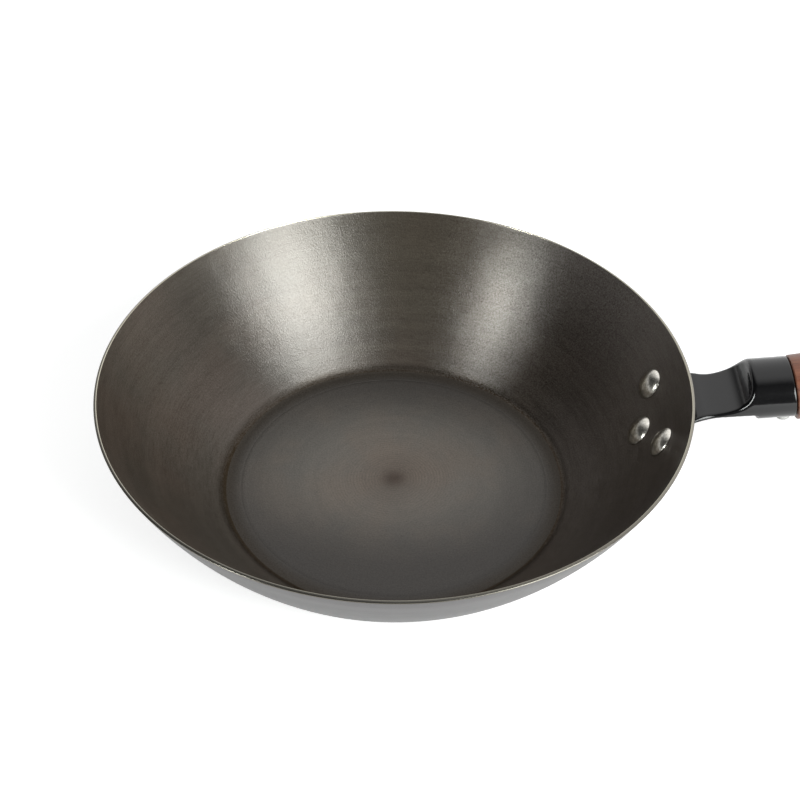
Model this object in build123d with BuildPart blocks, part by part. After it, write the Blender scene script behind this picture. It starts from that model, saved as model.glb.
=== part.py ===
from build123d import *
from math import asin, cos, degrees, hypot, radians, sin, sqrt, tan
import os

# Flat-bottomed carbon steel wok with one long handle, in millimetres.
# The origin is the centre of the flat base, +Z is up and the handle runs along +X.

# Bowl
rim_radius = 150.0
rim_height = 76.8
floor_radius = 91.8
wall_radius = 193.5
bowl_sheet = 1.6
corner_radius = 10.0
groove_radius = 82.8
groove_width = 0.9
groove_depth = 0.25

# Handle bracket, pressed from one sheet
bracket_sheet = 2.0
seat_gap = 0.05
strap_drop = 9.9
bend_radius = 18.0
dip_radius = 30.0
rise_radius = 13.0
dip_angle = 28.0
rise_angle = 85.0
waist_half_width = 17.2
waist_length = 17.0
root_half_width = 28.0
root_length = 44.0
root_half_height = 30.0
flange_drop = 3.7
notch_half_width = 25.0
ear_radius = 9.5
plate_half_angle = 18.0
seam_width = 0.8
lip_radius = 3.0
band_angle = 60.0
level_angle = 90.0

# Sleeve at the end of the bracket
sleeve_setback = 2.58
sleeve_lift = 4.3
handle_tilt = 7.0
sleeve_half_width = 17.5
sleeve_half_height = 13.6
sleeve_length = 20.4
sleeve_end_slant = 4.0
closed_sleeve_start = 2.0

# Rivets
upper_rivet_depth = 26.7
upper_rivet_angle = 9.5
lower_rivet_depth = 42.4
head_radius = 8.2
head_height = 3.4
rivet_shank_radius = 2.5
rivet_clearance = 0.05
tail_radius = 4.8
tail_height = 2.2
tail_edge = 0.8
seat_sink = 0.5

# Wooden grip
grip_length = 140.0
grip_half_width = 19.5
grip_half_height = 16.0
grip_drop = 0.7
grip_end_round = 7.0
grip_front_fillet = 0.8
shoulder_gap = 0.3
spigot_start = 4.0
spigot_clearance = 0.15

# Screw that holds the grip in the sleeve
screw_offset = 16.3
screw_angle = 16.0
screw_head_radius = 3.3
screw_head_height = 2.6
screw_head_fillet = 1.0
screw_shank_radius = 1.5
screw_length = 11.0
screw_hole_clearance = 0.1
screw_slot_width = 0.9
screw_slot_depth = 0.9
pilot_clearance = 0.05
pilot_extra = 1.0

# Hanging eye and ring
eye_wire_radius = 1.75
eye_hole_radius = 2.4
eye_flange_radius = 6.0
eye_flange_thickness = 1.2
eye_neck = 1.0
eye_shank_length = 22.0
ring_radius = 15.0
ring_wire_radius = 1.6

# One overrun serves all cuts
overrun = 10.0

# Stations along the strap as shares of the way from the waist to the root
root_shares = (0.25, 0.5, 0.75, 1.0)

# Grip sections: distance, half width and half height as shares of the grip's sizes
grip_shares = (
    (0.12, 0.985, 0.98),
    (0.36, 1.0, 1.0),
    (0.62, 0.93, 0.93),
    (0.86, 0.86, 0.86),
    (1.0, 0.81, 0.8),
)
grip_front_shares = (0.94, 0.92)

# Turns round the grip's end edge, in degrees
grip_end_turns = (0, 20, 40, 60, 78)

os.makedirs("parts", exist_ok=True)

# The wall's outer arc runs from the table at floor_radius to the rim
chord_across = rim_radius - floor_radius
chord = hypot(chord_across, rim_height)
arc_offset = sqrt(wall_radius ** 2 - (chord / 2) ** 2)
wall_centre_x = (rim_radius + floor_radius) / 2 - arc_offset * rim_height / chord
wall_centre_z = rim_height / 2 + arc_offset * chord_across / chord
rim_angle = degrees(asin((wall_centre_z - rim_height) / wall_radius))


def wall_plane(depth, azimuth):
    # Plane on the wall's outer face, at a depth below the rim along the wall, Z into the bowl
    fall = radians(rim_angle) + depth / wall_radius
    turn = radians(azimuth)
    out = wall_centre_x + wall_radius * cos(fall)
    up = wall_centre_z - wall_radius * sin(fall)
    return Plane(
        origin=(out * cos(turn), out * sin(turn), up),
        x_dir=(-sin(turn), cos(turn), 0),
        z_dir=(-cos(fall) * cos(turn), -cos(fall) * sin(turn), sin(fall)),
    )


def wall_band(inner, outer, half_angle):
    # Solid between two faces parallel to the wall's outer face, centred on the handle
    turn = radians(half_angle)
    start = Plane((0, 0, 0), x_dir=(cos(turn), -sin(turn), 0), z_dir=(-sin(turn), -cos(turn), 0))
    centre = (wall_centre_x, wall_centre_z)
    sweep = band_angle - rim_angle
    with BuildPart() as band:
        with BuildSketch(start):
            with BuildLine():
                outer_arc = CenterArc(centre, wall_radius + outer, -band_angle, sweep)
                inner_arc = CenterArc(centre, wall_radius + inner, -band_angle, sweep)
                Line(outer_arc @ 0, inner_arc @ 0)
                Line(outer_arc @ 1, inner_arc @ 1)
            make_face()
        revolve(axis=Axis.Z, revolution_arc=2 * half_angle)
    return band.part


# Bowl, first without its rivet holes
with BuildPart() as bowl_form:
    with BuildSketch(Plane.XZ) as bowl_section:
        with BuildLine():
            centre = (wall_centre_x, wall_centre_z)
            outer_fall = degrees(asin(wall_centre_z / wall_radius))
            outside = CenterArc(centre, wall_radius, -outer_fall, outer_fall - rim_angle)
            inner_radius = wall_radius - bowl_sheet
            inner_fall = degrees(asin((wall_centre_z - bowl_sheet) / inner_radius))
            inside = CenterArc(centre, inner_radius, -inner_fall, inner_fall - rim_angle)
            Polyline(outside @ 0, (0, 0), (0, bowl_sheet), inside @ 0)
            Line(outside @ 1, inside @ 1)
        make_face()
        fillet(bowl_section.vertices().sort_by_distance(outside @ 0)[0], corner_radius)
        fillet(bowl_section.vertices().sort_by_distance(inside @ 0)[0], corner_radius - bowl_sheet)
    revolve(axis=Axis.Z)
    with BuildSketch(Plane.XZ):
        with Locations((groove_radius, bowl_sheet)):
            Rectangle(groove_width, 2 * groove_depth)
    revolve(axis=Axis.Z, mode=Mode.SUBTRACT)

rivets = {
    "rivet_upper_front": (upper_rivet_depth, -upper_rivet_angle),
    "rivet_upper_back": (upper_rivet_depth, upper_rivet_angle),
    "rivet_lower": (lower_rivet_depth, 0),
}
rivet_seats = {name: wall_plane(depth, azimuth) for name, (depth, azimuth) in rivets.items()}

with BuildPart() as wok_body:
    add(bowl_form.part)
    for seat in rivet_seats.values():
        with BuildSketch(seat):
            Circle(rivet_shank_radius + rivet_clearance)
        extrude(amount=overrun, both=True, mode=Mode.SUBTRACT)

# The strap's top face leaves the wall, bends outward, dips and rises to the sleeve
strap_height = rim_height - strap_drop
bend_reach = wall_radius + seat_gap + bend_radius
bend_centre_z = strap_height - bend_radius
bend_fall = asin((wall_centre_z - bend_centre_z) / bend_reach)
bend_centre_x = wall_centre_x + bend_reach * cos(bend_fall)
bend_start = 180 - degrees(bend_fall)
dip_centre_z = strap_height + dip_radius
rise_centre_x = bend_centre_x + (dip_radius - rise_radius) * sin(radians(dip_angle))
rise_centre_z = dip_centre_z - (dip_radius - rise_radius) * cos(radians(dip_angle))

# The sleeve starts where the strap's top face stops rising in an arc
rise_end_x = rise_centre_x + rise_radius * sin(radians(rise_angle))
handle_reach = rise_end_x + sleeve_setback
handle_height = strap_height + sleeve_lift


def above_strap(drop, half_width):
    # Everything above the strap's top face, or above a face parallel to it
    inside_z = wall_centre_z - (wall_radius - bowl_sheet) * sin(bend_fall)
    clear_z = handle_height + root_half_height + overrun
    with BuildPart() as region:
        with BuildSketch(Plane.XZ):
            with BuildLine():
                bend_centre = (bend_centre_x, bend_centre_z)
                bend = CenterArc(bend_centre, bend_radius - drop, bend_start, level_angle - bend_start)
                dip_centre = (bend_centre_x, dip_centre_z)
                CenterArc(dip_centre, dip_radius + drop, -level_angle, dip_angle)
                rise_centre = (rise_centre_x, rise_centre_z)
                rise_start = dip_angle - level_angle
                rise = CenterArc(rise_centre, rise_radius + drop, rise_start, rise_angle - dip_angle)
                lean = (clear_z - (rise @ 1).Y) / tan(radians(rise_angle))
                Polyline(
                    rise @ 1,
                    ((rise @ 1).X + lean, clear_z),
                    (floor_radius, clear_z),
                    (floor_radius, inside_z),
                    bend @ 0,
                )
            make_face()
        extrude(amount=half_width, both=True)
    return region.part


# Handle frame: Z along the handle, X across it, Y up. The side frame looks at it from the front.
along = (cos(radians(handle_tilt)), 0, sin(radians(handle_tilt)))
handle_plane = Plane((handle_reach, 0, handle_height), x_dir=(0, 1, 0), z_dir=along)
side_plane = Plane((handle_reach, 0, handle_height), x_dir=along, z_dir=(0, -1, 0))


def end_plane(distance):
    # Plane across the handle whose top leans back toward the bowl
    lean = radians(handle_tilt + sleeve_end_slant)
    origin = handle_plane.offset(distance).origin
    return Plane(origin, x_dir=(0, 1, 0), z_dir=(cos(lean), 0, sin(lean)))


def handle_form(inset):
    # Solid oval from inside the wall to past the sleeve's end, waisted and flared at its root
    with BuildPart() as form:
        with BuildSketch(handle_plane.offset(closed_sleeve_start)):
            Ellipse(sleeve_half_width - inset, sleeve_half_height - inset)
        extrude(amount=sleeve_length + overrun)
        with BuildSketch(handle_plane.offset(closed_sleeve_start)):
            Ellipse(sleeve_half_width - inset, sleeve_half_height - inset)
        with BuildSketch(handle_plane.offset(-waist_length)):
            Ellipse(waist_half_width - inset, sleeve_half_height - inset)
        for share in root_shares:
            distance = waist_length + share * (root_length - waist_length)
            half_width = waist_half_width + share**2 * (root_half_width - waist_half_width)
            half_height = sleeve_half_height + share * (root_half_height - sleeve_half_height)
            with BuildSketch(handle_plane.offset(-distance)):
                Ellipse(half_width - inset, half_height - inset)
        loft()
    return form.part


full_width = root_half_width + overrun
underside_length = root_length + overrun + closed_sleeve_start
underside_depth = root_half_height + overrun
bracket_face = seat_gap + bracket_sheet
handle_solid = handle_form(0)
plate_band = wall_band(seat_gap, bracket_face, plate_half_angle)

# Space under the strap and inside the sleeve
with BuildPart() as bracket_hollow:
    add(handle_form(bracket_sheet))
    with BuildSketch(side_plane):
        with Locations((closed_sleeve_start, -flange_drop)):
            mouth = Rectangle(underside_length, underside_depth, align=(Align.MAX, Align.MAX))
        fillet(mouth.vertices().group_by(Axis.X)[-1].sort_by(Axis.Z)[-1], lip_radius)
    extrude(amount=full_width, both=True)
    add(above_strap(bracket_sheet, full_width + overrun), mode=Mode.SUBTRACT)

# Plate that hugs the wall round the three rivets
with BuildPart() as plate:
    add(plate_band)
    with BuildSketch(rivet_seats["rivet_lower"]) as ears:
        for seat in rivet_seats.values():
            across = ears.workplanes[0].to_local_coords(seat.origin)
            with Locations((across.X, across.Y)):
                Circle(ear_radius)
        make_hull()
    extrude(amount=overrun, both=True, mode=Mode.INTERSECT)
    add(above_strap(0, notch_half_width), mode=Mode.SUBTRACT)


def oval_point(half_width, half_height, angle):
    # Point on an oval and its outward direction, with the angle counted from straight down
    across = -sin(radians(angle))
    down = -cos(radians(angle))
    reach = sqrt((half_width * across) ** 2 + (half_height * down) ** 2)
    return (half_width**2 * across / reach, half_height**2 * down / reach), (across, down)


# The grip screw stands on the sleeve beside its seam
screw_point, screw_out = oval_point(sleeve_half_width, sleeve_half_height, screw_angle)
screw_section = handle_plane.offset(screw_offset)
screw_plane = Plane(
    screw_section.from_local_coords((*screw_point, 0)),
    x_dir=along,
    z_dir=screw_section.x_dir * screw_out[0] + screw_section.y_dir * screw_out[1],
)

with BuildPart() as handle_bracket:
    add(handle_solid)
    add(above_strap(0, full_width), mode=Mode.SUBTRACT)
    add(bracket_hollow.part, mode=Mode.SUBTRACT)
    add(wall_band(-root_half_height, seat_gap, band_angle), mode=Mode.SUBTRACT)
    split(bisect_by=end_plane(sleeve_length), keep=Keep.BOTTOM)
    with BuildSketch(side_plane):
        seam_length = sleeve_length + overrun
        Rectangle(seam_length, sleeve_half_height + overrun, align=(Align.MIN, Align.MAX))
    extrude(amount=seam_width / 2, both=True, mode=Mode.SUBTRACT)
    add(plate.part)
    for seat in rivet_seats.values():
        with BuildSketch(seat):
            Circle(rivet_shank_radius + rivet_clearance)
        extrude(amount=overrun, both=True, mode=Mode.SUBTRACT)
    with BuildSketch(screw_plane):
        Circle(screw_shank_radius + screw_hole_clearance)
    extrude(amount=2 * bracket_sheet, both=True, mode=Mode.SUBTRACT)


def dome_radius(base_radius, height):
    return (base_radius**2 + height**2) / (2 * height)


wall_sector = wall_band(-bowl_sheet, 0, plate_half_angle)


def make_rivet(seat):
    # Domed head on the wall's inner face, formed tail on the plate, shank through both
    side = Plane(seat.origin, x_dir=seat.x_dir, z_dir=-seat.y_dir)
    axis = Axis(seat.origin, seat.z_dir)
    head_base = bowl_sheet - seat_sink
    head_top = bowl_sheet + head_height
    tail_base = seat_sink - bracket_face
    tail_side = -bracket_face - tail_edge
    tail_top = -bracket_face - tail_height
    tail_dome = tail_height - tail_edge
    with BuildPart() as rivet:
        with BuildSketch(side):
            with BuildLine():
                RadiusArc((0, head_top), (head_radius, bowl_sheet), dome_radius(head_radius, head_height))
                Polyline((head_radius, bowl_sheet), (head_radius, head_base), (0, head_base), (0, head_top))
            make_face()
            with BuildLine():
                Polyline((0, tail_top), (0, tail_base), (tail_radius, tail_base), (tail_radius, tail_side))
                RadiusArc((tail_radius, tail_side), (0, tail_top), dome_radius(tail_radius, tail_dome))
            make_face()
        revolve(axis=axis)
        add(wall_sector, mode=Mode.SUBTRACT)
        add(plate_band, mode=Mode.SUBTRACT)
        with BuildSketch(seat.offset(tail_side)):
            Circle(rivet_shank_radius)
        extrude(amount=head_top - head_height / 2 - tail_side)
    return rivet


with BuildPart() as grip_screw:
    with BuildSketch(screw_plane.offset(-seat_sink)):
        Circle(screw_head_radius)
    extrude(amount=seat_sink + screw_head_height)
    outward = Axis(screw_plane.origin, screw_plane.z_dir)
    fillet(grip_screw.edges().sort_by(outward)[-1], screw_head_fillet)
    add(handle_solid, mode=Mode.SUBTRACT)
    with BuildSketch(screw_plane.offset(screw_head_height)):
        Rectangle(2 * screw_head_radius, screw_slot_width)
    extrude(amount=-screw_slot_depth, mode=Mode.SUBTRACT)
    with BuildSketch(screw_plane.offset(-screw_length)):
        Circle(screw_shank_radius)
    extrude(amount=screw_length + screw_head_height / 2)

# Wooden grip with a spigot inside the sleeve
grip_start = sleeve_length + shoulder_gap
barrel_length = grip_length - grip_end_round
end_width, end_height = grip_shares[-1][1:]
with BuildPart() as wooden_grip:
    front_width, front_height = grip_front_shares
    with BuildSketch(end_plane(grip_start)):
        with Locations((0, -grip_drop)):
            Ellipse(front_width * grip_half_width, front_height * grip_half_height)
    for distance_share, width_share, height_share in grip_shares:
        with BuildSketch(handle_plane.offset(grip_start + distance_share * barrel_length)):
            with Locations((0, -grip_drop)):
                Ellipse(width_share * grip_half_width, height_share * grip_half_height)
    loft()
    for turn in grip_end_turns:
        inset = grip_end_round * (1 - cos(radians(turn)))
        distance = grip_start + barrel_length + grip_end_round * sin(radians(turn))
        with BuildSketch(handle_plane.offset(distance)):
            with Locations((0, -grip_drop)):
                Ellipse(end_width * grip_half_width - inset, end_height * grip_half_height - inset)
    loft()
    fillet(wooden_grip.edges().sort_by(Axis.X)[0], grip_front_fillet)
    spigot_inset = bracket_sheet + spigot_clearance
    with BuildSketch(handle_plane.offset(spigot_start)):
        Ellipse(sleeve_half_width - spigot_inset, sleeve_half_height - spigot_inset)
    extrude(amount=grip_start - spigot_start + overrun)
    with BuildSketch(screw_plane):
        Circle(screw_shank_radius + pilot_clearance)
    extrude(amount=-(screw_length + pilot_extra), mode=Mode.SUBTRACT)
    grip_end = handle_plane.offset(distance)
    eye_seat = Plane(grip_end.from_local_coords((0, -grip_drop, 0)), x_dir=(0, 1, 0), z_dir=along)
    with BuildSketch(eye_seat):
        Circle(eye_wire_radius + pilot_clearance)
    extrude(amount=-(eye_shank_length + pilot_extra), mode=Mode.SUBTRACT)

# Screw eye in the grip's end, with its hole across the handle
eye_loop_radius = eye_hole_radius + eye_wire_radius
eye_reach = eye_flange_thickness + eye_neck + eye_loop_radius + eye_wire_radius
eye_centre = eye_seat.offset(eye_reach).origin
with BuildPart(Plane(eye_centre, z_dir=(0, 1, 0))) as hanging_eye:
    Torus(eye_loop_radius, eye_wire_radius)
    with BuildSketch(eye_seat):
        Circle(eye_flange_radius)
    extrude(amount=eye_flange_thickness)
    with BuildSketch(eye_seat.offset(-eye_shank_length)):
        Circle(eye_wire_radius)
    extrude(amount=eye_shank_length + eye_reach - eye_loop_radius)

# Ring that hangs straight down through the eye
ring_centre = (eye_centre.X, 0, eye_centre.Z - ring_radius)
with BuildPart(Plane(ring_centre, z_dir=(1, 0, 0))) as hanging_ring:
    Torus(ring_radius, ring_wire_radius)

wok_body.part.label = "wok_body"
export_step(wok_body.part, "parts/wok_body.step")
handle_bracket.part.label = "handle_bracket"
export_step(handle_bracket.part, "parts/handle_bracket.step")
for name, seat in rivet_seats.items():
    rivet = make_rivet(seat)
    rivet.part.label = name
    export_step(rivet.part, f"parts/{name}.step")
wooden_grip.part.label = "wooden_grip"
export_step(wooden_grip.part, "parts/wooden_grip.step")
grip_screw.part.label = "grip_screw"
export_step(grip_screw.part, "parts/grip_screw.step")
hanging_eye.part.label = "hanging_eye"
export_step(hanging_eye.part, "parts/hanging_eye.step")
hanging_ring.part.label = "hanging_ring"
export_step(hanging_ring.part, "parts/hanging_ring.step")
print("ring pivot", round(eye_centre.X, 3), round(eye_centre.Z, 3))
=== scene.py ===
import bpy
from math import asin, atan2, cos, hypot, pi, radians, sin, sqrt, tan
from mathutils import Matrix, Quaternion, Vector


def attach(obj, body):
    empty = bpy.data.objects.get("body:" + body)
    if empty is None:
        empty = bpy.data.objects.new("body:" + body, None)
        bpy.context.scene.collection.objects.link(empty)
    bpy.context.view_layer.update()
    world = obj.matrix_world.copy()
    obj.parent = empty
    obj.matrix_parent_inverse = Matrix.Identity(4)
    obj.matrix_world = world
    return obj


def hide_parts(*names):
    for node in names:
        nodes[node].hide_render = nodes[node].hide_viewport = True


# Carbon steel wok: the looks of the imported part. Metres, base on the floor, handle along +X.
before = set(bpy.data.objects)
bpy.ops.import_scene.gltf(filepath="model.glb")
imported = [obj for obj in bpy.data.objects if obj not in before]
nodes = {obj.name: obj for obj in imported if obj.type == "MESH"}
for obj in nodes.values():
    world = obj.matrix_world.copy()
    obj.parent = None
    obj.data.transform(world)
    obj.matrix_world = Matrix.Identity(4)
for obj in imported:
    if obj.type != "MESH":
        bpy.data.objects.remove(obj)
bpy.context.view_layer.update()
scene = bpy.context.scene
mm = 0.001
weld = 2e-6   # metres within which the points of a spun seam become one

shot = {
    "place": (0.008725, -0.48938, 0.4866),
    "turn": (48.82, -0.566, 1.194),   # degrees
    "lens": 56.79,
    "sensor": 36,
}
cameraData = bpy.data.cameras.new("shotCamera")
cameraData.lens = shot["lens"]
cameraData.sensor_width = shot["sensor"]
camera = bpy.data.objects.new("shotCamera", cameraData)
camera.location = shot["place"]
camera.rotation_euler = [radians(angle) for angle in shot["turn"]]
scene.collection.objects.link(camera)
scene.camera = camera
scene.view_settings.view_transform = "Standard"
print("camera placed")


# A socket that takes part in plain sums
class Value:
    def __init__(self, sheet, socket):
        self.sheet = sheet
        self.socket = socket

    def calc(self, kind, *others, flipped=False):
        terms = [self, *others]
        if flipped:
            terms.reverse()
        return self.sheet.node("Math", {"operation": kind}, dict(enumerate(terms)))

    def __add__(self, other):
        return self.calc("ADD", other)

    def __sub__(self, other):
        return self.calc("SUBTRACT", other)

    def __rsub__(self, other):
        return self.calc("SUBTRACT", other, flipped=True)

    def __mul__(self, other):
        return self.calc("MULTIPLY", other)

    def __truediv__(self, other):
        return self.calc("DIVIDE", other)

    def __abs__(self):
        return self.calc("ABSOLUTE")

    __radd__ = __add__
    __rmul__ = __mul__

    def most(self, other):
        return self.calc("MAXIMUM", other)

    def least(self, other):
        return self.calc("MINIMUM", other)

    def beyond(self, other):   # 1 where this is the larger, else 0
        return self.calc("GREATER_THAN", other)

    def hypot(self, other):
        return (self * self + other * other).calc("SQRT")

    def step(self, start, end, low=0.0, high=1.0):   # eased from low at start to high at end
        sockets = {"Value": self, "From Min": start, "From Max": end, "To Min": low, "To Max": high}
        return self.sheet.node("MapRange", {"interpolation_type": "SMOOTHSTEP"}, sockets)

    def near(self, place, width):   # 1 at a place, 0 from a width away
        return abs(self - place).step(0.0, width, 1.0, 0.0)


# A node tree whose nodes are added one call at a time
class Sheet:
    def __init__(self, tree):
        self.tree = tree

    def put(self, holder, key, value):
        if isinstance(value, Value):
            self.tree.links.new(value.socket, holder.inputs[key])
        else:
            holder.inputs[key].default_value = value

    def node(self, kind, settings=None, sockets=None, out=0):
        made = self.tree.nodes.new(kind if "Node" in kind else "ShaderNode" + kind)
        for key, value in (settings or {}).items():
            setattr(made, key, value)
        for key, value in (sockets or {}).items():
            self.put(made, key, value)
        return Value(self, made.outputs[out])

    def axes(self, vector):
        split = self.node("SeparateXYZ", sockets={0: vector})
        return [Value(self, output) for output in split.socket.node.outputs]

    def ray(self, kind):   # 1 for rays of one kind
        return self.node("LightPath", out="Is %s Ray" % kind)

    def mirrorRay(self):
        return self.ray("Glossy").most(self.ray("Transmission"))


class Finish(Sheet):
    def __init__(self, name, **constants):
        self.material = bpy.data.materials.new(name)
        self.material.use_nodes = True
        super().__init__(self.material.node_tree)
        self.shader = self.tree.nodes["Principled BSDF"]
        self.feed(**constants)

    def feed(self, **sockets):   # words of a socket's name are joined by a low line
        for label, value in sockets.items():
            self.put(self.shader, label.replace("_", " "), value)

    def place(self):
        return self.node("TexCoord", out="Object")

    def vector(self, x, y, z):
        return self.node("CombineXYZ", sockets={0: x, 1: y, 2: z})

    def noise(self, vector, scale, detail=2.0, roughness=0.5):
        return self.node("TexNoise", sockets={
            "Vector": vector, "Scale": scale, "Detail": detail, "Roughness": roughness})

    def attribute(self, name):
        return self.node("Attribute", {"attribute_name": name}, out="Fac")

    def mix(self, amount, first, second):
        return self.node("Mix", {"data_type": "RGBA"}, {0: amount, 6: first, 7: second}, out=2)

    def scaled(self, tone, light):
        return self.node("VectorMath", {"operation": "SCALE"}, {0: tone, "Scale": light})

    def bump(self, height, distance):
        self.feed(Normal=self.node("Bump", sockets={"Height": height, "Distance": distance}))


def colour(red, green, blue):   # as read from a screen, 0 to 255
    values = [channel / 255 for channel in (red, green, blue)]
    return [((v + 0.055) / 1.055) ** 2.4 if v > 0.04045 else v / 12.92 for v in values] + [1.0]


# A geometry tree: its shape comes in and goes out, its numbers are named inputs
class ShapeTree(Sheet):
    def __init__(self, name, numbers):
        super().__init__(bpy.data.node_groups.new(name, "GeometryNodeTree"))
        side = self.tree.interface
        side.new_socket("Shape", in_out="INPUT", socket_type="NodeSocketGeometry")
        side.new_socket("Shape", in_out="OUTPUT", socket_type="NodeSocketGeometry")
        for label, value in numbers.items():
            kind = "NodeSocketInt" if isinstance(value, int) else "NodeSocketFloat"
            side.new_socket(label, in_out="INPUT", socket_type=kind)
        given = self.tree.nodes.new("NodeGroupInput")
        self.given = {socket.name: Value(self, socket) for socket in given.outputs if socket.name}
        self.numbers = numbers

    def stored(self, name, kind="FLOAT"):
        return self.node("GeometryNodeInputNamedAttribute", {"data_type": kind}, {"Name": name})

    def spin(self, line):   # a line of edges carried round the upright axis
        line = self.node("GeometryNodeMeshToCurve", sockets={0: line})
        path = self.node("GeometryNodeCurvePrimitiveCircle", sockets={
            "Resolution": self.given["Segments"], "Radius": self.given["Path radius"]})
        skin = self.node("GeometryNodeCurveToMesh", sockets={"Curve": path, "Profile Curve": line})
        skin = self.node("GeometryNodeMergeByDistance", sockets={
            "Geometry": skin, "Distance": weld})
        return self.node("GeometryNodeSetShadeSmooth", sockets={"Geometry": skin})

    def paint(self, shape, finish, selection=True):
        return self.node("GeometryNodeSetMaterial", sockets={
            "Geometry": shape, "Selection": selection, "Material": finish.material})

    def finish(self, shape):
        shape = self.node("GeometryNodeRealizeInstances", sockets={0: shape})
        self.put(self.tree.nodes.new("NodeGroupOutput"), 0, shape)

    def apply(self, name, start):   # a plain mesh of what the tree makes from start
        helper = bpy.data.objects.new(name + "Start", start)
        scene.collection.objects.link(helper)
        modifier = helper.modifiers.new(name, "NODES")
        modifier.node_group = self.tree
        for socket in self.tree.interface.items_tree:
            if socket.in_out == "INPUT" and socket.name in self.numbers:
                modifier[socket.identifier] = self.numbers[socket.name]
        ready = helper.evaluated_get(bpy.context.evaluated_depsgraph_get())
        mesh = bpy.data.meshes.new_from_object(ready)
        mesh.name = name
        bpy.data.objects.remove(helper)
        piece = bpy.data.objects.new(name, mesh)
        scene.collection.objects.link(piece)
        return piece


def newPiece(name, points, faces, finish):
    mesh = bpy.data.meshes.new(name)
    mesh.from_pydata([tuple(point) for point in points], [], faces)
    mesh.validate()
    mesh.materials.append(finish.material)
    mesh.polygons.foreach_set("use_smooth", [True] * len(mesh.polygons))
    piece = bpy.data.objects.new(name, mesh)
    scene.collection.objects.link(piece)
    return piece


# Bowl, spun from one sheet: sizes in millimetres, as in the part
bowl = {
    "rimRadius": 150.0,
    "rimHeight": 76.8,
    "floorRadius": 91.8,
    "wallRadius": 193.5,
    "sheet": 1.6,
    "cornerRadius": 10.0,
    "grooveRadius": 82.8,
    "grooveWidth": 0.9,
    "grooveDepth": 0.045,
    "grooveFlat": 0.6,           # share of the groove's width that is its flat bottom
    "edgeRound": 0.35,
    "floorRings": (0, 1, 2, 4, 8, 16, 28, 40, 52, 64, 72, 78, 81),
    "baseRings": (80, 72, 60, 44, 28, 14, 5, 0),
    "cornerSteps": 16,
    "wallSteps": 44,
    "edgeSteps": 5,
    "segments": 320,
    "pathRadius": 50.0,
}
across = bowl["rimRadius"] - bowl["floorRadius"]
chord = hypot(across, bowl["rimHeight"])
chordOffset = sqrt(bowl["wallRadius"] ** 2 - (chord / 2) ** 2)
wallX = (bowl["rimRadius"] + bowl["floorRadius"]) / 2 - chordOffset * bowl["rimHeight"] / chord
wallZ = bowl["rimHeight"] / 2 + chordOffset * across / chord
rimFall = asin((wallZ - bowl["rimHeight"]) / bowl["wallRadius"])


def arc(x, z, radius, start, end, count):
    angles = [start + (end - start) * i / count for i in range(count + 1)]
    return [(x + radius * cos(angle), z + radius * sin(angle)) for angle in angles]


def bowlProfile():
    sheet, corner, wall = bowl["sheet"], bowl["cornerRadius"], bowl["wallRadius"]
    cornerSteps, wallSteps, edgeSteps = bowl["cornerSteps"], bowl["wallSteps"], bowl["edgeSteps"]
    cornerX = wallX + sqrt((wall - corner) ** 2 - (wallZ - corner) ** 2)
    cornerFall = atan2(wallZ - corner, cornerX - wallX)
    groove, half, deep = bowl["grooveRadius"], bowl["grooveWidth"] / 2, sheet - bowl["grooveDepth"]
    bottom = half * bowl["grooveFlat"]
    flat = [(r, sheet) for r in bowl["floorRings"]]
    flat += [(groove - half, sheet), (groove - bottom, deep), (groove + bottom, deep)]
    flat += [(groove + half, sheet), (groove + 1, sheet), (groove + 3, sheet)]
    rising = arc(cornerX, corner, corner - sheet, -pi / 2, -cornerFall, cornerSteps)
    rising += arc(wallX, wallZ, wall - sheet, -cornerFall, -rimFall, wallSteps)[1:]
    outside = arc(wallX, wallZ, wall, -rimFall, -cornerFall, wallSteps)
    outside += arc(cornerX, corner, corner, -cornerFall, -pi / 2, cornerSteps)[1:]
    outside += [(r, 0) for r in bowl["baseRings"]]
    innerEdge, outerEdge = Vector(rising.pop()), Vector(outside.pop(0))
    over = (outerEdge - innerEdge).normalized()
    up = Vector((-over.y, over.x))
    quarter = [pi / 2 * i / edgeSteps for i in range(edgeSteps + 1)]
    land = []
    for edge, inward, turns in ((innerEdge, over, quarter), (outerEdge, -over, quarter[::-1])):
        for turn in turns:
            inset = inward * (1 - cos(turn)) - up * (1 - sin(turn))
            land.append(tuple(edge + inset * bowl["edgeRound"]))
    return flat, rising, land, outside


flatLine, risingLine, landLine, outsideLine = bowlProfile()
profile = flatLine + risingLine + landLine + outsideLine
run = [0.0]   # millimetres along the profile from the middle of the floor
for first, second in zip(profile, profile[1:]):
    run.append(run[-1] + hypot(second[0] - first[0], second[1] - first[1]))
landStart = run[len(flatLine) + len(risingLine)]
outsideStart = run[len(flatLine) + len(risingLine) + len(landLine) - 1]

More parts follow.
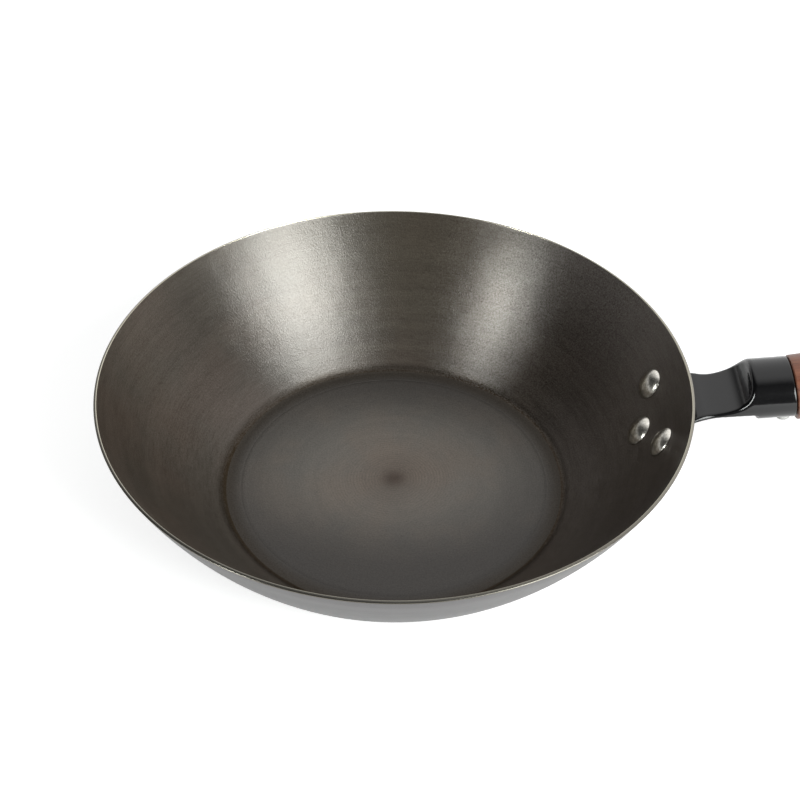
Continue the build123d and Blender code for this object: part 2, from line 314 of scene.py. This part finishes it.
# Finishes of the steel, in the order in which the profile meets them
steel = {
    "floor": colour(94, 87, 79),
    "floorWarm": colour(98, 87, 77),
    "floorCool": colour(90, 86, 80),
    # painted shade on the floor before and behind the middle, where the turned rings reflect dark
    "floorTurnedShade": colour(47, 42, 37),
    "middleShade": colour(46, 28, 7),          # painted shade: the dark spot in the middle of the floor, where the turned rings reflect dark
    # the corner band: partly the steel's brown tone, partly painted shade where the curved corner
    # reflects dark
    "corner": colour(50, 43, 34),
    "wall": colour(55, 45, 30),
    "wallWarm": colour(64, 49, 33),
    "heatTintAndLight": colour(76, 68, 51),        # the far side of the wall, lighter and warmer: partly heat tint, partly painted light
    "shaded": colour(53, 44, 37),        # the wall by the handle
    "land": colour(162, 158, 149),
    "landBand": colour(134, 128, 112),
    # painted highlight on the rim's rounded inner edge, painted reflection on its rounded outer
    # edge
    "innerEdge": colour(240, 235, 214),
    "outerEdge": colour(140, 129, 106),
    "outside": colour(107, 104, 105),
    "outsidePale": colour(116, 113, 114),
    "lineDensity": (12.0, 1.5),          # round the bowl, and for each millimetre of the profile
    "bandDensity": (0.7, 0.16),
    "grainDensity": 1150.0,
    "ringPitch": 1.6,                    # millimetres between the turning marks near the middle
    "cornerOffset": 5.0,                 # millimetres from the flat floor to the corner's middle
}
cornerMiddle = run[len(flatLine) - 1] + steel["cornerOffset"]


def spunSteel(name, **constants):   # a finish with the marks that spinning and grinding leave
    finish = Finish(name, Anisotropic_Rotation=0.25, **constants)
    x, y, z = finish.axes(finish.place())
    out = x.hypot(y) + 1e-6
    along = finish.attribute("run")
    marks = []
    for turned, lengthwise in (steel["lineDensity"], steel["bandDensity"]):
        place = finish.vector(x / out * turned, y / out * turned, along * lengthwise)
        marks.append(finish.noise(place, 1.0, 3.0, 0.6) - 0.5)
    grain = finish.noise(finish.place(), steel["grainDensity"], 2.0, 0.7) - 0.5
    return finish, along, *marks, grain


def makeFloorSteel():
    finish, along, lines, bands, grain = spunSteel("floorSteel", IOR=1.8, Anisotropic=0.25)
    x, y, z = finish.axes(finish.place())
    patches = finish.noise(finish.place(), 22.0, 3.0, 0.6)
    warm = along.step(14.0, 52.0, 0.8, 0.0) * patches.step(0.3, 0.7, 1.0, 0.5)
    # painted shade: darker before and behind the middle than beside it, as the turned rings reflect
    sides = (x * 0.62).hypot(y - 0.008) / mm + (patches - 0.5) * 16.0
    # painted shade: the dark spot in the middle of the floor
    spot = along.step(0.0, 10.0, 0.6, 0.0) + along.step(2.0, 27.0, 0.36, 0.0)
    # the corner band: partly brown tone, partly painted shade, with more metal there dulling it
    # further
    edge = along.near(cornerMiddle, 11.0)
    tone = finish.mix(patches.step(0.4, 0.6), steel["floor"], steel["floorCool"])
    tone = finish.mix(warm, tone, steel["floorWarm"])
    tone = finish.mix(sides.step(22.0, 74.0), tone, steel["floorTurnedShade"])
    tone = finish.mix(spot, tone, steel["middleShade"])
    tone = finish.mix(edge * 0.95, tone, steel["corner"])
    turning = (along * (2 * pi / steel["ringPitch"]) + bands * 9.0).calc("SINE")
    turning = turning * along.step(16.0, 46.0, 1.0, 0.12) * patches.step(0.2, 0.6, 1.0, 0.5)
    turning = turning * along.step(5.0, 9.0)
    # painted shade: the floor is a little darker along the groove
    groove = along.near(bowl["grooveRadius"], 0.7).step(0.0, 1.0, 1.0, 0.85)
    light = (1.0 + lines * 0.45 + bands * 0.35 + grain * 0.8 + turning * 0.15) * groove
    finish.feed(Base_Color=finish.scaled(tone, light), Metallic=0.4 + edge * 0.3 - grain * 0.5)
    finish.feed(Roughness=0.5 + lines * 0.1 + grain * 0.2)
    finish.bump(lines * 0.3 + grain * 0.8 + turning * 0.14, 0.00016)
    return finish


def makeWallSteel():
    finish, along, lines, bands, grain = spunSteel("wallSteel", IOR=2.8, Anisotropic=0.72)
    x, y, z = finish.axes(finish.place())
    patches = finish.noise(finish.place(), 16.0, 3.0, 0.55)
    # the far side of the wall is painted lighter: partly heat tint, partly painted light
    far = (y + bands * 0.06).step(0.06, 0.14, 0.0, 0.6)
    byHandle = x.step(0.05, 0.11, 0.0, 0.8)
    # the corner band: partly brown tone, partly painted shade, with more metal there dulling it
    # further
    corner = along.near(cornerMiddle, 7.0)
    tone = finish.mix(patches.step(0.35, 0.65), steel["wall"], steel["wallWarm"])
    tone = finish.mix(far, tone, steel["heatTintAndLight"])
    tone = finish.mix(byHandle, tone, steel["shaded"])
    tone = finish.mix(corner * 0.7, tone, steel["corner"])
    light = 1.0 + lines * 0.3 + bands * 0.25 + grain * 0.5
    # painted shade: deeper on the near left side and by the handle, where more metal dulls the
    # gloss; grainier on the far right
    nearLeft = (0.03 - y - x * 0.5).step(0.0, 0.09)
    coarse = 0.4 + x.step(0.0, 0.05) * y.step(0.03, 0.08) * 0.8
    metal = 0.48 + nearLeft * 0.18 + corner * 0.4 + x.step(0.04, 0.09, 0.0, 0.06)
    metal = metal - lines * 0.3 - bands * 0.15 - grain * coarse
    finish.feed(Base_Color=finish.scaled(tone, light), Metallic=metal)
    finish.feed(Roughness=x.step(0.0, 0.06, 0.36, 0.31) + lines * 0.08 + bands * 0.06)
    dents = finish.noise(finish.place(), 34.0, 2.0, 0.5)
    finish.bump(grain * 0.8 + lines * 0.14 + dents * 3.0, 0.00014)
    return finish


def makeLandSteel():
    finish, along, lines, bands, grain = spunSteel("cutEdge", Metallic=1.0, Anisotropic=0.2)
    x, y, z = finish.axes(finish.place())
    # painted highlight along the rim's inner edge, painted reflection along its outer edge
    tone = finish.mix(along.near(landStart, 0.6), steel["land"], steel["innerEdge"])
    tone = finish.mix(along.near(outsideStart, 0.4), tone, steel["outerEdge"])
    tone = finish.mix(bands.step(-0.1, 0.1) * 0.4, tone, steel["landBand"])
    # painted reflection: the rim is darker towards the front, where it mirrors the dark side of the
    # room
    light = y.step(-0.14, -0.02, 0.52, 1.0) + lines * 0.1
    finish.feed(Base_Color=finish.scaled(tone, light), Roughness=0.22 + lines * 0.12)
    return finish


def makeOutsideSteel():
    finish, along, lines, bands, grain = spunSteel("groundSteel", Metallic=1.0, Anisotropic=0.6)
    tone = finish.mix(bands.step(-0.15, 0.15), steel["outside"], steel["outsidePale"])
    finish.feed(Base_Color=finish.scaled(tone, 1.0 + lines * 0.2 + grain * 0.3))
    finish.feed(Roughness=0.3 + lines * 0.1)
    finish.bump(lines * 0.35 + grain * 0.4, 0.00005)
    return finish


def spinTree(finishes, numbers):   # each finish but the first begins at a place of the profile
    tree = ShapeTree("spunBowl", numbers)
    skin = tree.paint(tree.spin(tree.given["Shape"]), finishes[0])
    along = tree.stored("run")
    for finish, label in zip(finishes[1:], ("Wall start", "Land start", "Outside start")):
        skin = tree.paint(skin, finish, along.beyond(tree.given[label]))
    tree.finish(skin)
    return tree


spin = spinTree([makeFloorSteel(), makeWallSteel(), makeLandSteel(), makeOutsideSteel()], {
    "Segments": bowl["segments"],
    "Path radius": bowl["pathRadius"] * mm,
    "Wall start": cornerMiddle,
    "Land start": landStart,
    "Outside start": outsideStart,
})
bowlStart = bpy.data.meshes.new("bowlOutline")
bowlStart.from_pydata([((x - bowl["pathRadius"]) * mm, -z * mm, 0) for x, z in profile],
                      [(i, i + 1) for i in range(len(profile) - 1)], [])
bowlStart.attributes.new("run", "FLOAT", "POINT").data.foreach_set("value", run)
spunBowl = spin.apply("spunBowl", bowlStart)
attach(spunBowl, "wok")
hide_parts("wok_body")
print("bowl spun:", len(spunBowl.data.polygons), "faces")

# Three rivets: a domed head inside the bowl, a formed tail outside
rivet = {
    "depths": (26.7, 26.7, 42.4),      # below the rim along the wall, millimetres
    "azimuths": (-9.5, 9.5, 0.0),      # degrees
    "headRadius": 8.2,
    "headHeight": 3.4,
    "brim": 0.5,
    "dome": 0.72,                      # power of the dome's curve: less is fuller
    "headSteps": 24,
    "shankRadius": 2.5,
    "tailRadius": 4.8,
    "tailHeight": 2.2,
    "tailEdge": 0.56,
    "tailSteps": 8,
    "bracketSheet": 2.05,
    "sink": 0.35,
    "segments": 72,
    "pathRadius": 2.0,
    "bright": colour(236, 233, 224),
    "worn": colour(206, 202, 192),
}


def wallSeat(depth, azimuth):   # a point on the wall's outer face and the way into the bowl
    fall = rimFall + depth / bowl["wallRadius"]
    out = wallX + bowl["wallRadius"] * cos(fall)
    turn = radians(azimuth)
    place = Vector((out * cos(turn), out * sin(turn), wallZ - bowl["wallRadius"] * sin(fall)))
    return place, Vector((-cos(fall) * cos(turn), -cos(fall) * sin(turn), sin(fall)))


def rivetProfile():
    sheet, sink, brim = bowl["sheet"], rivet["sink"], rivet["brim"]
    radius, height = rivet["headRadius"], rivet["headHeight"]
    shank, under = rivet["shankRadius"], -rivet["bracketSheet"]
    head = [(0.0, sheet + height)]
    for i in range(1, rivet["headSteps"] + 1):
        share = sin(i / rivet["headSteps"] * pi / 2)
        dome = (1 - share ** 2) ** rivet["dome"]
        head.append((radius * share, sheet + brim + (height - brim) * dome))
    # the brim turns under, so a dark line is left round the head
    head += [(radius - 0.1, sheet + brim * 0.6), (radius - 0.35, sheet + brim * 0.25),
             (radius - 0.7, sheet), (radius - 0.8, sheet - sink), (shank, sheet - sink)]
    wide, edge = rivet["tailRadius"], under - rivet["tailEdge"]
    tail = [(shank, under + sink), (wide - 0.3, under + sink), (wide, under), (wide, edge)]
    for i in range(1, rivet["tailSteps"]):
        turn = pi / 2 * i / rivet["tailSteps"]
        drop = (rivet["tailHeight"] - rivet["tailEdge"]) * sin(turn)
        tail.append((wide * cos(turn), edge - drop))
    tail.append((0.0, under - rivet["tailHeight"]))
    return head + tail


def makeRivetFinish():
    finish = Finish("polishedRivet", Metallic=1.0)
    worn = finish.noise(finish.place(), 700.0, 3.0, 0.6)
    fine = finish.noise(finish.place(), 2600.0, 2.0, 0.5)
    tone = finish.mix(worn.step(0.3, 0.75), rivet["bright"], rivet["worn"])
    finish.feed(Base_Color=tone, Roughness=0.15 + worn * 0.16)
    finish.bump(worn * 0.6 + fine * 0.15, 0.0001)
    return finish


def rivetTree(finish, numbers):   # the line is spun once and set on each seat, facing inward
    tree = ShapeTree("rivetSet", numbers)
    chosen = tree.stored("seat", "BOOLEAN")
    parted = tree.node("GeometryNodeSeparateGeometry", {"domain": "POINT"},
                       {0: tree.given["Shape"], 1: chosen})
    skin = tree.spin(Value(tree, parted.socket.node.outputs["Inverted"]))
    turn = tree.node("FunctionNodeAlignRotationToVector", {"axis": "Z"},
                     {"Vector": tree.stored("facing", "FLOAT_VECTOR")})
    placed = tree.node("GeometryNodeInstanceOnPoints", sockets={
        "Points": parted, "Instance": skin, "Rotation": turn})
    placed = tree.node("GeometryNodeRealizeInstances", sockets={0: placed})
    tree.finish(tree.paint(placed, finish))
    return tree


seats = [wallSeat(depth, azimuth) for depth, azimuth in zip(rivet["depths"], rivet["azimuths"])]
rivetLine = [((x - rivet["pathRadius"]) * mm, -z * mm, 0) for x, z in rivetProfile()]
rivetPoints = [tuple(place * mm) for place, facing in seats] + rivetLine
rivetStart = bpy.data.meshes.new("rivetStart")
rivetStart.from_pydata(
    rivetPoints, [(i, i + 1) for i in range(len(seats), len(rivetPoints) - 1)], [])
rivetStart.attributes.new("seat", "BOOLEAN", "POINT").data.foreach_set(
    "value", [i < len(seats) for i in range(len(rivetPoints))])
facings = [part for place, facing in seats for part in facing] + [0.0] * 3 * len(rivetLine)
rivetStart.attributes.new("facing", "FLOAT_VECTOR", "POINT").data.foreach_set("vector", facings)
rivetSet = rivetTree(makeRivetFinish(), {
    "Segments": rivet["segments"], "Path radius": rivet["pathRadius"] * mm})
rivets = rivetSet.apply("rivets", rivetStart)
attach(rivets, "wok")
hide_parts("rivet_upper_front", "rivet_upper_back", "rivet_lower")
print("rivets set:", len(rivets.data.polygons), "faces")

# Handle: places along it are counted from the start of the sleeve
handle = {
    "start": (180.0, 0.0, 71.2),
    "tilt": 7.0,                 # degrees
    "sleeveLength": 20.4,
    "endSlant": 4.0,             # degrees
    "sleeveHalfWidth": 17.5,
    "sleeveHalfHeight": 13.6,
    "sheet": 2.0,
}
handleTilt = radians(handle["tilt"])
handleAlong = Vector((cos(handleTilt), 0, sin(handleTilt)))
handleUp = Vector((-sin(handleTilt), 0, cos(handleTilt)))


def onHandle(distance, across, up):
    place = Vector(handle["start"]) + handleAlong * distance + Vector((0, across, 0))
    return (place + handleUp * up) * mm


# Bracket: the space it fills is worked out as distances in millimetres, then skinned
bracket = {
    "seatGap": 0.05,
    "strapDrop": 9.9,
    "bendRadius": 18.0,
    "dipRadius": 30.0,
    "riseRadius": 13.0,
    "dipAngle": 28.0,            # degrees
    "riseAngle": 85.0,
    "waist": (17.2, 17.0),       # half width, distance before the sleeve
    "root": (28.0, 30.0, 44.0),  # half width, half height, distance before the sleeve
    "sleeveEase": 2.0,           # how far into the sleeve the widening ends
    "flangeDrop": 3.7,
    "mouth": 2.0,
    "lipRadius": 3.0,
    "earRadius": 9.5,
    "seamWidth": 0.8,
    "seamStart": -2.0,
    "edgeRound": 2.4,
    "rimRound": 0.9,
    "insideRound": 0.5,
    "plateRound": 0.6,
    "blend": 1.6,
    "voxel": 0.42,
    "low": (134.0, -33.5, 30.0),
    "high": (203.5, 33.5, 89.0),
    "black": colour(4, 4, 5),
    "blackPale": colour(9, 9, 10),
}


def makeEnamelFinish():
    finish = Finish("blackEnamel")
    wavy = finish.noise(finish.place(), 120.0, 2.0, 0.5)
    specks = finish.noise(finish.place(), 900.0, 2.0, 0.6)
    finish.feed(Base_Color=finish.mix(wavy, bracket["black"], bracket["blackPale"]))
    finish.feed(Roughness=0.12 + specks.step(0.5, 0.75) * 0.1)
    finish.bump(wavy * 0.5 + specks * 0.1, 0.0001)
    return finish


def rounded(first, second, radius):   # where two spaces overlap, with their shared edge rounded
    corner = (first + radius).most(0.0).hypot((second + radius).most(0.0))
    return first.most(second).least(-radius) + corner


def blended(first, second, reach):   # two spaces together, with a fillet between them
    lap = (reach - abs(first - second)).most(0.0)
    return first.least(second) - lap * lap * (0.25 / reach)


def strapTop(x, z):   # over a bend, down a dip and up to the sleeve
    strapZ = bowl["rimHeight"] - bracket["strapDrop"]
    bendRadius, dipRadius = bracket["bendRadius"], bracket["dipRadius"]
    riseRadius, wallGap = bracket["riseRadius"], bowl["wallRadius"] + bracket["seatGap"]
    bendZ, dipZ = strapZ - bendRadius, strapZ + dipRadius
    bendX = wallX + sqrt((wallGap + bendRadius) ** 2 - (wallZ - bendZ) ** 2)
    dipTurn, riseTurn = radians(bracket["dipAngle"]), radians(bracket["riseAngle"])
    riseX = bendX + (dipRadius - riseRadius) * sin(dipTurn)
    riseZ = dipZ - (dipRadius - riseRadius) * cos(dipTurn)
    bend = (x - bendX).hypot(z - bendZ) - bendRadius
    dip = dipRadius - (x - bendX).hypot(z - dipZ)
    ramp = riseRadius - (x - riseX).hypot(z - riseZ)
    front = riseRadius - ((x - riseX) * sin(riseTurn) + (riseZ - z) * cos(riseTurn))
    pastBend = (x - bendX).beyond(0.0)
    pastDip = ((x - bendX) * cos(dipTurn) - (dipZ - z) * sin(dipTurn)).beyond(0.0)
    pastRamp = ((x - riseX) * cos(riseTurn) - (riseZ - z) * sin(riseTurn)).beyond(0.0)
    top = ramp + (front - ramp) * (pastRamp * (x - riseX).beyond(0.0))
    top = dip + (top - dip) * pastDip
    return bend + (top - bend) * pastBend


def flaredOval(y, along, up):   # the sleeve's oval, which narrows to a waist and flares to a root
    wide, high = handle["sleeveHalfWidth"], handle["sleeveHalfHeight"]
    waistWide, waistAt = bracket["waist"]
    rootWide, rootHigh, rootAt = bracket["root"]
    back = ((-waistAt - along) / (rootAt - waistAt)).most(0.0)
    narrowed = wide - along.step(-waistAt, bracket["sleeveEase"], wide - waistWide, 0.0)
    wideHere = narrowed + back * back * (rootWide - waistWide)
    highHere = high + back * (rootHigh - high)
    near = (y / wideHere).hypot(up / highHere)
    slope = (y / (wideHere * wideHere)).hypot(up / (highHere * highHere)).most(1e-6)
    return near * (near - 1) / slope


def rivetEars(x, y, z):   # how far it is to the triangle between the rivets
    centre, facing = seats[2]
    climb = Vector((facing.z, 0.0, -facing.x))
    height = (x - centre.x) * climb.x + (z - centre.z) * climb.z
    spots = [(seat.y, (seat - centre).dot(climb)) for seat, inward in seats]
    ears = None
    for (firstY, firstUp), (lastY, lastUp) in zip(spots, spots[1:] + spots[:1]):
        overY, overUp = lastY - firstY, lastUp - firstUp
        reach = overY ** 2 + overUp ** 2
        share = ((y - firstY) * overY + (height - firstUp) * overUp) / reach
        share = share.most(0.0).least(1.0)
        bar = (y - firstY - share * overY).hypot(height - firstUp - share * overUp)
        ears = bar if ears is None else ears.least(bar)
    return ears


def pressTree(finish):
    size, sheet = bracket, handle["sheet"]
    cells = [int((b - a) / size["voxel"]) for a, b in zip(size["low"], size["high"])]
    tree = ShapeTree("pressedBracket", dict(zip(("Cells X", "Cells Y", "Cells Z"), cells)))
    x, y, z = (axis / mm for axis in tree.axes(tree.node("GeometryNodeInputPosition")))
    startX, startZ = handle["start"][0], handle["start"][2]
    lean, rise = sin(handleTilt), cos(handleTilt)
    along = (x - startX) * rise + (z - startZ) * lean
    up = (z - startZ) * rise - (x - startX) * lean

    # strap and sleeve, open below before the mouth and slit along the sleeve's underside
    top = strapTop(x, z)
    solid = rounded(flaredOval(y, along, up), top, size["edgeRound"])
    under = rounded(along - size["mouth"], up + size["flangeDrop"], size["lipRadius"])
    hollow = (solid + sheet).least(under.most(top + sheet))
    shell = rounded(solid, 0 - hollow, size["insideRound"])
    seam = abs(y).most(up + size["seamWidth"]) - size["seamWidth"] / 2
    shell = shell.most(0 - seam.most(size["seamStart"] - along))

    # the plate on the wall, with an ear round each rivet
    outward = (x.hypot(y) - wallX).hypot(z - wallZ) - bowl["wallRadius"] - size["seatGap"]
    ears = (rivetEars(x, y, z) - size["earRadius"]).most(top)
    plate = rounded(abs(outward - sheet / 2) - sheet / 2, ears, size["plateRound"])
    whole = blended(shell.most(0 - outward), plate, size["blend"]).most(0 - outward)

    # the sleeve's end, rounded over
    slant = handleTilt + radians(handle["endSlant"])
    endX, endZ = startX + handle["sleeveLength"] * rise, startZ + handle["sleeveLength"] * lean
    past = (x - endX) * cos(slant) + (z - endZ) * sin(slant)
    whole = rounded(whole, past, size["rimRound"])

    cloud = tree.node("GeometryNodeVolumeCube", sockets={
        "Density": 0 - whole, "Background": -1.0,
        "Min": Vector(size["low"]) * mm, "Max": Vector(size["high"]) * mm,
        "Resolution X": tree.given["Cells X"], "Resolution Y": tree.given["Cells Y"],
        "Resolution Z": tree.given["Cells Z"]})
    skin = tree.node("GeometryNodeVolumeToMesh", sockets={"Volume": cloud, "Threshold": 0.0})
    skin = tree.node("GeometryNodeSetShadeSmooth", sockets={"Geometry": skin})
    tree.finish(tree.paint(skin, finish))
    return tree


pressed = pressTree(makeEnamelFinish()).apply(
    "pressedBracket", bpy.data.meshes.new("bracketStart"))
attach(pressed, "wok")
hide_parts("handle_bracket")
print("bracket pressed:", len(pressed.data.polygons), "faces")

# Grip: oval sections along the handle, as shares of its half width and half height
grip = {
    "length": 140.0,
    "halfWidth": 19.5,
    "halfHeight": 16.0,
    "drop": 0.7,
    "gap": 0.3,
    "endRound": 7.0,
    "endTurn": 84,               # degrees
    "endSteps": 12,
    "frontFillet": 0.8,
    "frontSteps": 5,
    "sections": ((0.0, 0.94, 0.92), (0.12, 0.985, 0.98), (0.36, 1.0, 1.0), (0.62, 0.93, 0.93),
                 (0.86, 0.86, 0.86), (1.0, 0.81, 0.8)),
    "spigotStart": 4.0,
    "spigotClearance": 0.15,
    "turns": 96,
    "steps": 56,
    "wood": colour(114, 65, 43),
    "ring": colour(80, 40, 25),
    "streak": colour(124, 78, 55),
    "pore": colour(52, 26, 18),
}


def eased(stations, place):   # smooth curve through the sections
    for i in range(len(stations) - 1):
        if place <= stations[i + 1][0] or i == len(stations) - 2:
            break
    before, first = stations[max(i - 1, 0)], stations[i]
    second, after = stations[i + 1], stations[min(i + 2, len(stations) - 1)]
    width = second[0] - first[0]
    t = (place - first[0]) / width
    out = []
    for k in (1, 2):
        slopeA = (second[k] - before[k]) / (second[0] - before[0]) * width
        slopeB = (after[k] - first[k]) / (after[0] - first[0]) * width
        a, b = first[k], second[k]
        out.append(a + slopeA * t + (3 * b - 3 * a - 2 * slopeA - slopeB) * t ** 2
                   + (2 * a - 2 * b + slopeA + slopeB) * t ** 3)
    return out


def gripRings():   # each is distance, half width, half height, how far up the middle is, slant
    start = handle["sleeveLength"] + grip["gap"]
    barrel = grip["length"] - grip["endRound"]
    spigot = handle["sheet"] + grip["spigotClearance"]
    slant = tan(radians(handle["endSlant"]))
    wide, high = handle["sleeveHalfWidth"] - spigot, handle["sleeveHalfHeight"] - spigot
    rings = [(grip["spigotStart"] + back, wide - inset, high - inset, 0.0, 0.0)
             for inset, back in ((4.0, 0.0), (1.5, 0.0), (0.3, 0.1), (0.0, 0.5))]
    rings.append((start + 0.2, wide, high, 0.0, slant))
    wide = grip["sections"][0][1] * grip["halfWidth"]
    high = grip["sections"][0][2] * grip["halfHeight"]
    fillet, middle = grip["frontFillet"], -grip["drop"]
    for i in range(grip["frontSteps"] + 1):
        turn = pi / 2 * i / grip["frontSteps"]
        inset = fillet * (1 - sin(turn))
        rings.append((start + fillet * (1 - cos(turn)), wide - inset, high - inset, middle, slant))
    for i in range(1, grip["steps"] + 1):
        place = i / grip["steps"]
        wide, high = eased(grip["sections"], place)
        wide, high = wide * grip["halfWidth"], high * grip["halfHeight"]
        distance = start + fillet + place * (barrel - fillet)
        rings.append((distance, wide, high, middle, slant * max(0.0, 1 - place * 6)))
    for i in range(1, grip["endSteps"] + 1):
        turn = radians(grip["endTurn"] * i / grip["endSteps"])
        inset = grip["endRound"] * (1 - cos(turn))
        distance = start + barrel + grip["endRound"] * sin(turn)
        rings.append((distance, wide - inset, high - inset, middle, 0.0))
    distance, wide, high = rings[-1][:3]
    for out, share in ((0.12, 0.6), (0.15, 0.2)):
        rings.append((distance + out, wide * share, high * share, middle, 0.0))
    return rings


def makeWoodFinish():
    finish = Finish("oiledWood", Coat_Weight=0.25, Coat_Roughness=0.3)
    x, y, z = finish.axes(finish.node("Mapping", sockets={
        "Vector": finish.place(), "Rotation": (0.0, handleTilt, 0.0)}))
    warp = finish.noise(finish.vector(x * 9.0, y * 30.0, z * 30.0), 1.0, 2.0, 0.5)
    rings = finish.node("TexWave", {"wave_type": "BANDS", "bands_direction": "Z"}, {
        "Vector": finish.vector(x * 0.05, y * 0.5, z + warp * 0.012), "Scale": 75.0,
        "Distortion": 3.0, "Detail": 2.0, "Detail Scale": 1.5})
    streaks = finish.noise(finish.vector(x * 14.0, y * 420.0, z * 420.0), 1.0, 4.0, 0.6)
    pores = finish.noise(finish.vector(x * 60.0, y * 1500.0, z * 1500.0), 1.0, 2.0, 0.5)
    pores = pores.step(0.60, 0.72)
    tone = finish.mix(rings * 0.7, grip["wood"], grip["ring"])
    tone = finish.mix(streaks.step(0.35, 0.7), tone, grip["streak"])
    tone = finish.mix(pores * 0.6, tone, grip["pore"])
    finish.feed(Base_Color=tone, Roughness=0.38 + streaks * 0.14 + pores * 0.1)
    finish.bump(streaks * 0.5 - pores * 0.6, 0.00015)
    return finish


gripPoints, gripFaces = [], []
rings, turns = gripRings(), grip["turns"]
for distance, wide, high, middle, slant in rings:
    for i in range(turns):
        turn = 2 * pi * i / turns
        up = high * sin(turn) + middle
        gripPoints.append(onHandle(distance - up * slant, wide * cos(turn), up))
for i in range(len(rings) - 1):
    for j in range(turns):
        k, near, far = (j + 1) % turns, i * turns, (i + 1) * turns
        gripFaces.append((near + j, near + k, far + k, far + j))
gripFaces.append(tuple(reversed(range(turns))))
gripFaces.append(tuple(range((len(rings) - 1) * turns, len(rings) * turns)))
turnedGrip = newPiece("turnedGrip", gripPoints, gripFaces, makeWoodFinish())
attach(turnedGrip, "wok")
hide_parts("wooden_grip")
print("grip turned:", len(turnedGrip.data.polygons), "faces")

# Screw, eye and ring keep their shapes from the part
plated = {
    "nodes": ("grip_screw", "hanging_eye", "hanging_ring"),
    "bright": colour(186, 186, 184),
    "dull": colour(158, 158, 155),
}


def makePlateFinish():
    finish = Finish("zincPlate", Metallic=1.0)
    worn = finish.noise(finish.place(), 500.0, 3.0, 0.6)
    finish.feed(Base_Color=finish.mix(worn, plated["bright"], plated["dull"]))
    finish.feed(Roughness=0.18 + worn * 0.18)
    finish.bump(worn, 0.00006)
    return finish


zincPlate = makePlateFinish()
for name in plated["nodes"]:
    nodes[name].data.materials.clear()
    nodes[name].data.materials.append(zincPlate.material)
print("screw, eye and ring plated")

# Studio: a white floor in white air. The metal mirrors darker air, brighter at the back
studio = {
    "floorSize": 3.0,
    "floorTone": 0.86,
    "floorSpeck": 0.01,            # how much darker the specks are
    "floorGlow": 0.5,
    "farGlow": 0.68,
    "glowSpan": (0.3, 1.3),        # metres from the middle, where the glow grows to the far one
    "mirrorSpan": (0.1, 0.3),      # metres from the middle, where mirrors begin to see the glow
    "level": 0.42,
    "ambient": (0.03, 0.085),      # above, on the left and on the right
    "ambientSpan": (-0.8, 0.1),
    "horizonSpan": (0.0, 0.3),
    "backSide": (0.2, 0.68, 0.66),
    "backSpan": (0.46, 0.88),
    "backLevel": 1.15,
    "frontSide": (0.05, -0.86, 0.5),
    "frontSpan": (0.55, 0.95),
    "frontLevel": 0.2,
    "lampTint": (0.97, 1.0, 0.985),
    "lampAim": (0, 0, 0.05),
    "lamps": (
        {"azimuth": 320.5, "height": 30, "roll": 15, "reach": 1.3, "wide": 0.74, "tall": 0.8,
         "power": 20.0},
        {"azimuth": 217, "height": 34.5, "roll": 15, "reach": 1.3, "wide": 0.2, "tall": 0.36,
         "power": 5.0},
    ),
}


def makeFloorFinish():
    finish = Finish("paleFloor", Roughness=0.9, Specular_IOR_Level=0.0)
    x, y, z = finish.axes(finish.place())
    out = x.hypot(y)
    tone, speck = studio["floorTone"], studio["floorTone"] - studio["floorSpeck"]
    specks = finish.noise(finish.place(), 60.0, 2.0, 0.5)
    finish.feed(Base_Color=finish.mix(specks, [tone] * 3 + [1], [speck] * 3 + [1]))
    seen = finish.ray("Camera").most(finish.mirrorRay() * out.step(*studio["mirrorSpan"]))
    seen = seen * out.step(*studio["glowSpan"], studio["floorGlow"], studio["farGlow"])
    finish.feed(Emission_Color=finish.mix(seen, [0, 0, 0, 1], [1, 1, 1, 1]), Emission_Strength=1.0)
    return finish


half = studio["floorSize"]
corners = [(x * half, y * half, 0) for x, y in ((-1, -1), (1, -1), (1, 1), (-1, 1))]
floor = newPiece("floor", corners, [(0, 1, 2, 3)], makeFloorFinish())

world = bpy.data.worlds.new("studioWorld")
world.use_nodes = True
scene.world = world
air = Sheet(world.node_tree)
direction = air.node("TexCoord", out="Generated")


def lit(level, side, span, target):   # the air towards one side of the room, at its own level
    side = tuple(Vector(studio[side]).normalized())
    facing = air.node("VectorMath", {"operation": "DOT_PRODUCT"}, {0: direction, 1: side},
                      out="Value")
    return level + facing.step(*studio[span]) * (studio[target] - level)


right, deep, climb = air.axes(direction)
above = right.step(*studio["ambientSpan"], *studio["ambient"])
mirrored = above + climb.step(*studio["horizonSpan"], 1.0, 0.0) * (1 - above)
mirrored = lit(mirrored, "backSide", "backSpan", "backLevel")
mirrored = lit(mirrored, "frontSide", "frontSpan", "frontLevel")
level = studio["level"] + air.mirrorRay() * (mirrored - studio["level"])
level = level + air.ray("Camera") * (1 - level)
background = world.node_tree.nodes["Background"]
air.put(background, "Strength", level)
air.put(background, "Color", (1, 1, 1, 1))

for i, lamp in enumerate(studio["lamps"]):
    light = bpy.data.lights.new("softLamp%d" % i, "AREA")
    light.shape = "RECTANGLE"
    light.size = lamp["wide"]
    light.size_y = lamp["tall"]
    light.energy = lamp["power"]
    light.color = studio["lampTint"]
    holder = bpy.data.objects.new("softLamp%d" % i, light)
    azimuth, height = radians(lamp["azimuth"]), radians(lamp["height"])
    away = Vector((cos(azimuth) * cos(height), sin(azimuth) * cos(height), sin(height)))
    holder.location = Vector(studio["lampAim"]) + away * lamp["reach"]
    turned = away.to_track_quat("Z", "Y") @ Quaternion((0, 0, 1), radians(lamp["roll"]))
    holder.rotation_euler = turned.to_euler()
    scene.collection.objects.link(holder)
print("studio lit")
